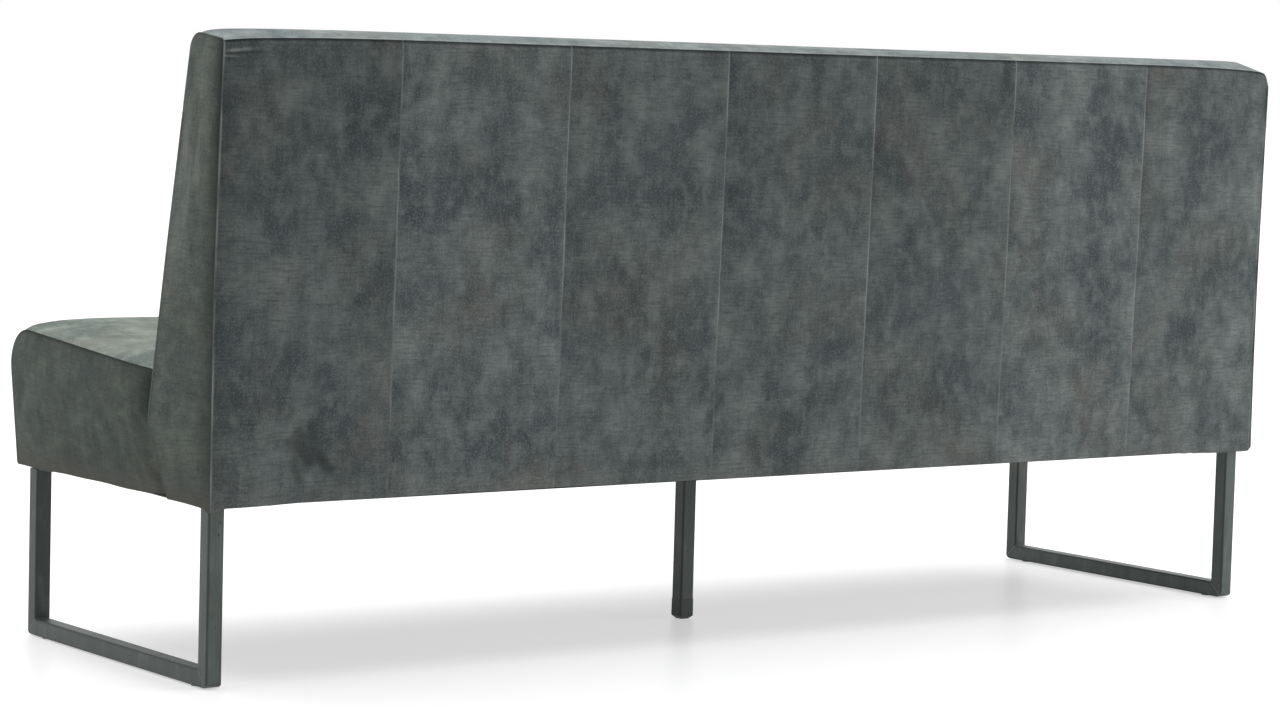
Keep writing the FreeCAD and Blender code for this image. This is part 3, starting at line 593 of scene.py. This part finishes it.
fine = (lines(2 * seat_half, 0.008, [0, 2 * seat_half], (0.001, 0.0025, 0.0045, 0.008)) - seat_half,
        lines(seat_height, 0.0075, [0, seat_height], (0.001, 0.0022, 0.0036, 0.0055)),
        lines(seat_depth, 0.008, [0, seat_depth], (0.002, 0.005)))
seat = swept(seat_section, fine, seat_crown, seat_edge_roll)
coarse = (np.linspace(-seat_half, seat_half, 111), np.linspace(0, seat_height, 13),
          np.linspace(0, seat_depth, 27))
body = swept(seat_section, coarse, seat_crown, seat_edge_roll)
held = np.zeros(body.shape[:3], bool)
held[[0, -1], :, 0] = held[[0, -1], :, -1] = True
held[[0, -1], -1, :] = True
held[:, 0, :] = True
held[:, :, 0] = True
seat = seat + spread_over(swollen(body, held, seat_swell), coarse, fine)
end_gap, top_gap, rear_gap, front_gap = lattice_gaps(fine)
on_end, on_top, on_front = end_gap == 0, top_gap == 0, front_gap == 0

# The front hem is rolled under, the end panels sink in towards the backrest, and the hem hangs a
# little over the leg plates and waves between its staples.
rolled = seat_hem_roll * quarter(near(fine[1], seat_hem_roll))[None, :, None]
seat[..., 1] += rolled * np.exp(-front_gap / seat_hem_roll_depth)
sink = end_sink * np.sign(seat[..., 0]) * bell(rear_gap, end_sink_reach)
seat[..., 0] -= np.where(end_gap < end_sink_width, sink, 0)
wave = np.sin(seat[..., 1] * 37) * np.sin(seat[..., 1] * 11 + 1) + np.sin(seat[..., 0] * 23)
hang = seat_hem_drop * bell(end_gap, hem_drop_reach) * (1 + bell(rear_gap, seat_hem_drop_depth))
seat[..., 2] -= (hem_wave * wave + hang) * near_hem(seat, seat_hem_height)

# Each face is cut from another part of the cloth, apart from the front and top, which are one.
cloth_places = {
    "bottom": cloth_grid(fine[0], fine[2] + 5),
    "top": cloth_grid(fine[2][::-1] + seat_height, fine[0])[::-1, :, ::-1],
    "rear": cloth_grid(fine[1] + 7, fine[0])[..., ::-1],
    "front": cloth_grid(fine[0], fine[1]),
    "right": cloth_grid(fine[2] + 11, fine[1]),
    "left": cloth_grid(fine[1], fine[2] + 13)[..., ::-1],
}
mesh, used = lattice_mesh("seat_cushion", seat, cloth_places)

# Painted shade in the nook beside the backrest, along the seam under the rim and faintly over the
# whole ends, the worn piping and the hem. Painted light makes the top paler and painted shade the
# ends darker, and a painted warm tint of the light lies on the ends and the top.
top_nap, end_nap, front_nap, front_fade = 0.66, -0.17, 0.25, 0.05
nook_size, nook_drop = 0.058, 0.03
seat_seam_shade, piping, hem_stain = 0.007, 0.002, 0.05
below = np.exp(-top_gap / front_fade)
rim = near(np.minimum(top_gap, front_gap), seat_seam_shade)
nook = bell(rear_gap, nook_size) * bell(top_gap - nook_drop, nook_size)
add_marks(mesh, used,
          nap=np.select([on_top, on_end], [top_nap, end_nap], front_nap + (top_nap - front_nap) * below),
          fold=on_end * np.maximum(0.08, np.maximum(0.95 * rim, 0.97 * nook)),
          khaki=0.8 * np.where(on_end, 1, below),
          wear=0.8 * near(end_gap - piping, piping) * ((on_top | on_front) & ~on_end),
          hem=0.6 * near_hem(seat, hem_stain) ** 2)
seat_cushion = bpy.data.objects.new("seat_cushion", mesh)
bpy.context.collection.objects.link(seat_cushion)
seat_cushion.data.materials.append(velvet)
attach(seat_cushion, "root")
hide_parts("seat_cover", "seat_foam", "left_seat_side_pad", "right_seat_side_pad",
            "left_seat_side_cover", "right_seat_side_cover")


# Backrest
# A wedge of foam and wadding over the ribbed frame. One velvet length covers the front and the
# top, flat panels close the ends, and seven upright panels are sewn side by side for the rear.

back_half = 1.0
back_height, back_depth = 0.640, 0.100
rear_hem, rear_seam = (0.3025, hem_z), (0.3185, 0.889)
back_tuck = (0.1880, hem_z)
back_lower_front = (0.1260, 0.352)
back_front_crown, front_rise = (0.1730, 0.600), 0.0145
back_front_top, top_rise, top_fill = (0.2355, 0.8994), 0.0175, 0.002
back_radii = (0.040, 1.8, 0.024)
back_edge_roll = 0.003
back_swell, calm_share, calm_reach = 0.004, 0.75, 0.03
left_quick_reach, left_slow_reach = 0.010, 0.080
right_share, right_reach = 0.36, 0.045
panel_count = 7
panel_width = 2 * back_half / panel_count


def back_section(crown, up, across):
    """Section of the backrest: straight rear edge, top, front edge over the lower front, the
    crown and the rounded front top, and bottom."""
    front_top = (back_front_top[0] - top_fill * crown, back_front_top[1] + top_rise * crown)
    front_crown = (back_front_crown[0] - front_rise * crown, back_front_crown[1])
    loop = rounded([back_tuck, back_lower_front, front_crown, front_top, rear_seam], back_radii)
    top_corner = 1 + 2 * arc_points + arc_points // 2
    rear = along(np.array([rear_hem, rear_seam]), up)
    front = along(loop[:top_corner + 1], up)
    top = along(loop[top_corner:][::-1], across)
    bottom = along(np.array([rear[0], front[0]]), across)
    return filled(rear, front, bottom, top, up, across)


def back_crown(places):
    """Share of the crown along the backrest: at the left end a quick rise at the seam and a slow
    one after it, at the right end most of it right at the seam."""
    left, right = back_half - places, back_half + places
    left_loss = (np.exp(-left / left_quick_reach) + np.exp(-left / left_slow_reach)) / 2
    return 1 - left_loss - right_share * np.exp(-right / right_reach)


# Lines lie closer beside the panel seams, at the pulled folds and at the brush marks.
seam_places = np.arange(panel_count + 1) * panel_width
fold_lines = back_height - np.arange(0.007, 0.032, 0.0016)
brushed_x, brushed_z = np.arange(1.786, 1.888, 0.004), np.arange(0.020, 0.124, 0.004)
beside_seam, beside_edge = (0.0009, 0.0024, 0.0045, 0.0075, 0.011), (0.0012, 0.003, 0.005)
fine = (lines(2 * back_half, 0.009, seam_places, beside_seam, brushed_x) - back_half,
        lines(back_height, 0.009, [0, back_height], beside_edge, np.concatenate([fold_lines, brushed_z])),
        lines(back_depth, 0.0075, [0, back_depth], beside_edge))
back = swept(back_section, fine, back_crown, back_edge_roll)
coarse = (np.linspace(-back_half, back_half, 113), np.linspace(0, back_height, 39),
          np.linspace(0, back_depth, 8))
body = swept(back_section, coarse, back_crown, back_edge_roll)
held = np.zeros(body.shape[:3], bool)
held[[0, -1], :, 0] = held[[0, -1], :, -1] = True
held[[0, -1], -1, :] = True
held[:, -1, 0] = True
held[:, 0, :] = True
held[::16, :, 0] = True
calm = 1 - calm_share * bell(back_half + fine[0], calm_reach)
back = back + spread_over(swollen(body, held, back_swell), coarse, fine) * calm[:, None, None, None]
end_gap, top_gap, rear_gap, front_gap = lattice_gaps(fine)
on_rear, on_end, on_top, on_front = rear_gap == 0, end_gap == 0, top_gap == 0, front_gap == 0
right_gap = np.broadcast_to((back_half + fine[0])[:, None, None], end_gap.shape)
left_gap = 2 * back_half - right_gap
seam_gap = np.abs((right_gap + panel_width / 2) % panel_width - panel_width / 2)
rearward = 1 - rear_gap / back_depth

# The rear top seam rises from its dipped corners, and seams draw the rear panels in.
seam_lift, seam_lift_reach = 0.006, 0.35
corner_dip, corner_dip_reach, lift_height = 0.002, 0.02, 0.05
panel_groove, panel_groove_width = 0.0006, 0.0045
top_groove, top_groove_drop, top_groove_width = 0.0018, 0.0015, 0.004
lift = seam_lift * (1 - (1 - np.clip(end_gap / seam_lift_reach, 0, 1)) ** 3)
dip = corner_dip * np.exp(-end_gap / corner_dip_reach)
back[..., 2] += (lift * rearward - dip) * near(top_gap, lift_height)
level = np.clip((back[..., 2] - hem_z) / (rear_seam[1] - hem_z), 0, 1)
groove = panel_groove * near(seam_gap, panel_groove_width)
groove = groove + top_groove * near(top_gap - top_groove_drop, top_groove_width)
back[..., 1] -= on_rear * groove

# The end seams bow in between hem and top. The right end is softer: it leans in at its top, where
# the corner is rounded, and its hem corner is rounded too.
seam_bow, seam_bow_reach = 0.006, 0.045
end_draw, end_bulge, end_reach = 0.008, 0.0022, 0.04
round_width, round_drop, round_height = 0.016, 0.017, 0.06
hem_round, hem_round_depth, back_hem_height = 0.007, 0.05, 0.03
bow = seam_bow * np.sin(np.pi * level) * np.exp(-end_gap / seam_bow_reach)
back[..., 1] -= bow * rearward
lean = end_draw * level ** 3.5 - end_bulge * (1 - level)
back[..., 0] += lean * np.exp(-right_gap / end_reach)
back[..., 2] -= round_drop * quarter(near(right_gap, round_width)) * near(top_gap, round_height) * rearward
turned = near(right_gap, hem_round) * near(rear_gap, hem_round_depth)
back[..., 2] += hem_round * quarter(turned) * near_hem(back, back_hem_height)

# Two folds pull across the left rear corner below the top seam: each a ridge along a slanted line,
# given by its drop at the end, its slope, where it fades in and out, its height and half width.
creases = ridges = np.zeros(end_gap.shape)
for drop, slope, fade_in, fade_out, height, half_width in (
        (0.0165, -0.045, 0.010, 0.050, 0.0026, 0.0022), (0.0225, 0.06, 0.004, 0.020, 0.0022, 0.0018)):
    off = (top_gap - drop - slope * left_gap) / half_width
    strength = on_rear * np.clip(left_gap / fade_in, 0, 1) * bell(left_gap, fade_out, 3)
    back[..., 1] += height * strength * bell(off, 1)
    # Painted shade lies just below each ridge and a painted highlight lies along its upper flank.
    creases = np.maximum(creases, strength * bell(off - 1.1, 1))
    ridges = np.maximum(ridges, strength * bell(off + 0.5, 1))

# Strokes where a hand has brushed the pile dark: two ends in x and z, half width and strength.
strokes = np.zeros(end_gap.shape)
for x1, z1, x2, z2, half_width, strength in (
        (0.864, 0.338, 0.847, 0.318, 0.017, 0.62), (0.846, 0.361, 0.838, 0.338, 0.010, 0.52),
        (0.880, 0.340, 0.865, 0.352, 0.007, 0.46), (0.865, 0.352, 0.844, 0.341, 0.009, 0.54),
        (0.868, 0.315, 0.862, 0.287, 0.009, 0.44), (0.842, 0.328, 0.812, 0.299, 0.010, 0.58),
        (0.812, 0.299, 0.800, 0.287, 0.008, 0.34), (0.405, 0.325, 0.400, 0.273, 0.010, 0.25),
        (0.600, 0.543, 0.599, 0.520, 0.005, 0.35), (0.532, 0.527, 0.531, 0.497, 0.004, 0.30),
        (0.329, 0.521, 0.328, 0.497, 0.009, 0.30), (0.124, 0.583, 0.120, 0.515, 0.004, 0.25)):
    run_x, run_z = x2 - x1, z2 - z1
    off_x, off_z = back[..., 0] - x1, back[..., 2] - z1
    share = np.clip((off_x * run_x + off_z * run_z) / (run_x ** 2 + run_z ** 2), 0, 1)
    off = np.hypot(off_x - share * run_x, off_z - share * run_z)
    strokes = np.maximum(strokes, strength * bell(off, half_width, 3))

# The hem waves a little and hangs over the leg plates, and the left corner's tip over the leg.
low_x, low_width = 0.54, 0.2
tip_drop, tip_reach, tip_slant = 0.0045, 0.017, 1.3
back_hem_drop, back_hem_drop_depth = 0.0030, 0.05
wave = 0.5 * np.sin(back[..., 0] * 19) * np.sin(back[..., 0] * 7 + 2)
wave = wave - bell(back[..., 0] - low_x, low_width)
tip = tip_drop * bell(left_gap + tip_slant * rear_gap, tip_reach, 4)
hang = back_hem_drop * bell(end_gap, hem_drop_reach, 4) * bell(rear_gap, back_hem_drop_depth)
back[..., 2] -= (hem_wave * wave + tip + hang) * near_hem(back, back_hem_height)

# Each face and each rear panel is cut from another part of the cloth.
cloth_places = {
    "bottom": cloth_grid(fine[0], fine[2] + 5),
    "top": cloth_grid(fine[2] + 21, fine[0])[..., ::-1],
    "rear": cloth_grid(fine[1], fine[0])[..., ::-1],
    "front": cloth_grid(fine[0] + 31, fine[1]),
    "right": cloth_grid(fine[2] + 41, fine[1]),
    "left": cloth_grid(fine[1], fine[2] + 43)[..., ::-1],
}
panel = ((fine[0][:-1] + fine[0][1:]) / 2 + back_half) // panel_width
panel_shift = np.stack([3.1 * panel, 1.7 * panel], axis=-1)[None, :, None, :]
mesh, used = lattice_mesh("backrest", back, cloth_places, panel_shift)

# The nap of each rear panel from right to left, with painted light and shade on it: a painted fall
# from its pale hem to a darker top and a painted shade along its left edge. The ends carry a painted
# shade that deepens downwards, and the front and top are painted paler, more so towards the left.
panel_nap = np.array((0.025, 0.14, -0.095, -0.075, -0.03, 0.12, -0.12))
left_edge_width = 0.03
panel_of = np.clip((fine[0] + back_half) // panel_width, 0, panel_count - 1).astype(int)
hem_near = near_hem(back, hem_stain) ** 2
rear_nap = panel_nap[panel_of][:, None, None] + 0.24 * (0.5 - level)
rear_nap = rear_nap - 0.16 * bell(left_gap, left_edge_width) + 0.24 * hem_near
end_nap = -0.02 - 0.30 * (1 - level) ** 3
front_nap = 0.54 + 0.17 * fine[0][:, None, None]

# Painted shade under the top seam, in the creases below the folds, towards the rear edge of the
# ends, along the end seams and beside the front's ends, with the brushed pile strokes. Worn seams
# and pale patches of worn pile, painted highlights on the fold ridges, and a painted warm tint of
# the light on the ends.
top_seam_shade, back_seam_shade, end_shade = 0.005, 0.006, 0.034
panel_seam_wear, top_wear_gap, top_wear = 0.0015, 0.004, 0.003
pale_z, pale_height, pale_start, pale_fade = 0.72, 0.13, 0.02, 0.03
worn_up = 0.35 + 0.65 * np.clip(2 * level, 0, 1)
pale = bell(back[..., 2] - pale_z, pale_height) * np.clip((rear_gap - pale_start) / pale_fade, 0, 1)
add_marks(mesh, used,
          nap=np.select([on_rear & ~on_top, on_end], [rear_nap, end_nap], front_nap),
          fold=np.maximum.reduce([
              on_rear * np.maximum(0.85 * near(top_gap, top_seam_shade), 0.7 * creases),
              on_rear * strokes,
              on_end * (0.5 + 0.48 * level) * near(rear_gap, end_shade) ** 1.4,
              on_end * 0.5 * near(np.minimum(front_gap, top_gap), back_seam_shade),
              on_front * 0.6 * near(end_gap, back_seam_shade)]),
          khaki=0.8 * on_end,
          wear=np.maximum.reduce([
              on_rear * 0.75 * near(seam_gap, panel_seam_wear) * worn_up,
              0.5 * ridges,
              on_top * 0.6 * near(rear_gap - top_wear_gap, top_wear),
              on_rear * 0.9 * near(end_gap - piping, piping),
              on_end * 0.3 * pale]),
          hem=np.where(on_rear, 0.25, 0.6) * hem_near)
backrest = bpy.data.objects.new("backrest", mesh)
bpy.context.collection.objects.link(backrest)
backrest.data.materials.append(velvet)
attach(backrest, "root")
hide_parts("inside_back_cover", "back_foam", "left_back_side_pad", "right_back_side_pad",
            "left_back_side_cover", "right_back_side_cover", "rear_wadding", "rear_cover_panels")


# Dust covers
# Black non-woven cloth stapled over the open underside of the seat and of the backrest, with a
# window at each leg plate for its two bolts.

# Spun-bonded cloth: matt black felt of bonded fibres, pressed with a small dotted grid.
dust_cloth = patterned("spun_bonded_dust_cloth", "#1d1e1e", [
    ((2.5, 2.5, 2.5), 0.45, 0.7, 0.5, "#2a2b2b"),
    ((20, 20, 20), 0.5, 0.8, 0.4, "#161717"),
], Roughness=0.95, Specular_IOR_Level=0.1)

dust_z, dust_thickness, dust_sag = 0.2544, 0.0006, 0.003
dust_step_x, dust_step_y, beside_window = 0.012, 0.010, (0.004,)
window_calm, window_ease = 0.07, 0.09
pucker, pucker_rate, pucker_reach = 0.0003, 105, 0.02
bay_ends = np.array([-0.96, -0.49, 0.0, 0.49, 0.96])
window_half = 0.012
end_bolt_x, end_bolt_half, middle_bolt_half = 0.920, 0.015, 0.044
front_bolt_y, rear_bolt_y = -0.2141, 0.2431


def dust_cover(name, half_length, front_y, rear_y, windows):
    """Stretched sheet with open windows: between the rails it sags by a sine across each bay times
    a sine from front to rear, less near a window, and it puckers a little along its staples.
    windows holds each opening's middle x, half length and middle y."""
    marks_x = np.concatenate([[x - half, x + half] for x, half, y in windows]) + half_length
    marks_y = np.concatenate([[y - window_half, y + window_half] for x, half, y in windows]) - front_y
    x = lines(2 * half_length, dust_step_x, marks_x, beside_window) - half_length
    y = lines(rear_y - front_y, dust_step_y, marks_y, beside_window) + front_y
    bay = np.clip(np.searchsorted(bay_ends, x) - 1, 0, len(bay_ends) - 2)
    swing = np.sin(np.pi * np.clip((x - bay_ends[bay]) / (bay_ends[bay + 1] - bay_ends[bay]), 0, 1))
    spots = np.stack(np.meshgrid(x, y, indexing="ij"), axis=-1)
    slack = swing[:, None] * np.sin(np.pi * (y - front_y) / (rear_y - front_y))[None]
    edge = np.minimum(border_distance(x)[:, None], border_distance(y)[None])
    staples = np.sin(spots[..., 0] * pucker_rate) * np.sin(spots[..., 1] * pucker_rate + 1)
    staples = pucker * staples * np.exp(-edge / pucker_reach)
    open_quad = np.zeros((len(x) - 1, len(y) - 1), bool)
    middle = (spots[:-1, :-1] + spots[1:, 1:]) / 2
    for window_x, half, window_y in windows:
        away = np.hypot(spots[..., 0] - window_x, spots[..., 1] - window_y)
        slack = slack * np.clip((away - window_calm) / window_ease, 0, 1)
        inside_x = np.abs(middle[..., 0] - window_x) < half
        open_quad |= inside_x & (np.abs(middle[..., 1] - window_y) < window_half)
    z = dust_z - dust_sag * slack + staples * (slack > 0)
    ids = np.arange(x.size * y.size).reshape(x.size, y.size)
    quads = np.stack([ids[:-1, :-1], ids[:-1, 1:], ids[1:, 1:], ids[1:, :-1]], axis=-1)[~open_quad]
    used, quads = np.unique(quads, return_inverse=True)
    mesh = bpy.data.meshes.new(name)
    points = np.concatenate([spots, z[..., None]], axis=-1).reshape(-1, 3)[used]
    mesh.from_pydata(points.tolist(), [], quads.reshape(-1, 4).tolist())
    mesh.polygons.foreach_set("use_smooth", np.ones(len(mesh.polygons), bool))
    mesh.materials.append(dust_cloth)
    sheet = bpy.data.objects.new(name, mesh)
    bpy.context.collection.objects.link(sheet)
    wall = sheet.modifiers.new("thickness", "SOLIDIFY")
    wall.thickness, wall.offset = dust_thickness, 0.0
    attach(sheet, "root")
    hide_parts(name.replace("_sheet", ""))


end_windows = [(side * end_bolt_x, end_bolt_half + window_half) for side in (1, -1)]
seat_windows = [(x, half, front_bolt_y) for x, half in end_windows]
seat_windows.append((0.0, middle_bolt_half + window_half, post_y))
back_windows = [(x, half, rear_bolt_y) for x, half in end_windows]
dust_cover("seat_dust_cover_sheet", 0.9884, -0.2859, 0.1847, seat_windows)
dust_cover("back_dust_cover_sheet", 0.9984, 0.1896, 0.3009, back_windows)


# Floor
# A plain pale studio floor that fades to white, keeps the shadow of the bench and mirrors it
# faintly.

def picture_rays(tree):
    """1 on camera, mirror and clear rays, which show a surface, and 0 on scattered light."""
    ray = add(tree, "ShaderNodeLightPath")
    seen = ray.outputs["Is Camera Ray"]
    for kind in ("Is Glossy Ray", "Is Transmission Ray"):
        seen = add(tree, "ShaderNodeMath", {0: seen, 1: ray.outputs[kind]}, operation="ADD", use_clamp=True)
        seen = seen.outputs[0]
    return seen


floor_half = 60.0
floor_mesh = bpy.data.meshes.new("floor")
corners = np.array([[-1, -1, 0], [1, -1, 0], [1, 1, 0], [-1, 1, 0]]) * floor_half
floor_mesh.from_pydata(corners.tolist(), [], [[0, 1, 2, 3]])
floor = bpy.data.objects.new("floor", floor_mesh)
bpy.context.collection.objects.link(floor)

# Coated paper: matt white with a weak sheen, lifted to white where the picture shows it.
paper = bpy.data.materials.new("white_paper_floor")
paper.use_nodes = True
tree = paper.node_tree
tree.nodes.clear()
matt = add(tree, "ShaderNodeBsdfDiffuse", None, {"Color": linear("#bcbcbc")})
sheen = add(tree, "ShaderNodeBsdfGlossy", None, {"Color": (0.14, 0.14, 0.14, 1), "Roughness": 0.3})
lift = add(tree, "ShaderNodeMath", {0: picture_rays(tree)}, {1: 0.5}, operation="MULTIPLY")
glow = add(tree, "ShaderNodeEmission", {"Strength": lift.outputs[0]})
both = add(tree, "ShaderNodeAddShader", {0: matt.outputs[0], 1: glow.outputs[0]})
all_three = add(tree, "ShaderNodeAddShader", {0: both.outputs[0], 1: sheen.outputs[0]})
add(tree, "ShaderNodeOutputMaterial", {"Surface": all_three.outputs[0]})
floor.data.materials.append(paper)


# Studio light
# One very broad light from above, a soft one from the right of the photographer, and a white
# surround that lights the bench more from that side.

world = bpy.data.worlds.new("studio")
bpy.context.scene.world = world
world.use_nodes = True
tree = world.node_tree
tree.nodes.clear()
way = add(tree, "ShaderNodeSeparateXYZ", {0: add(tree, "ShaderNodeTexCoord").outputs["Generated"]})
soft = add(tree, "ShaderNodeMapRange", {"Value": way.outputs[0]},
           {"From Min": -1.0, "From Max": 1.0, "To Min": 0.38, "To Max": 0.04})
strength = add(tree, "ShaderNodeMapRange", {"Value": picture_rays(tree), "To Min": soft.outputs[0]},
               {"To Max": 1.0})
air = add(tree, "ShaderNodeBackground", {"Strength": strength.outputs[0]}, {"Color": (1, 1, 1, 1)})
add(tree, "ShaderNodeOutputWorld", {"Surface": air.outputs[0]})

overhead = bpy.data.lights.new("overhead", "SUN")
overhead.energy = 3.3
overhead.angle = np.radians(75)
lamp = bpy.data.objects.new("overhead", overhead)
lamp.rotation_euler = (np.radians(10), np.radians(-7), 0)
bpy.context.collection.objects.link(lamp)

side_light = bpy.data.lights.new("side_light", "AREA")
side_light.shape = "RECTANGLE"
side_light.size, side_light.size_y = 1.8, 1.8
side_light.energy = 25
lamp = bpy.data.objects.new("side_light", side_light)
lamp.location = (-2.6, 2.2, 1.5)
aim = Vector((-0.7, 0.3, 0.5))
lamp.rotation_euler = (aim - lamp.location).to_track_quat("-Z", "Y").to_euler()
bpy.context.collection.objects.link(lamp)


# Camera
# Behind the bench at its left end, a little under eye level, with a long lens.

camera = bpy.data.cameras.new("camera")
camera.sensor_fit = "HORIZONTAL"
camera.sensor_width = 36.0
camera.lens = 99.79
camera.clip_end = 200
viewer = bpy.data.objects.new("camera", camera)
bpy.context.collection.objects.link(viewer)
right = Vector((-0.80680703, 0.59016696, 0.02766543))
upward = Vector((-0.02492676, -0.0807864, 0.9964197))
turn = Matrix((right, upward, right.cross(upward))).transposed().to_4x4()
viewer.matrix_world = Matrix.Translation((3.3653, 4.4993, 0.8555)) @ turn
bpy.context.scene.camera = viewer
bpy.context.scene.view_settings.view_transform = "Standard"
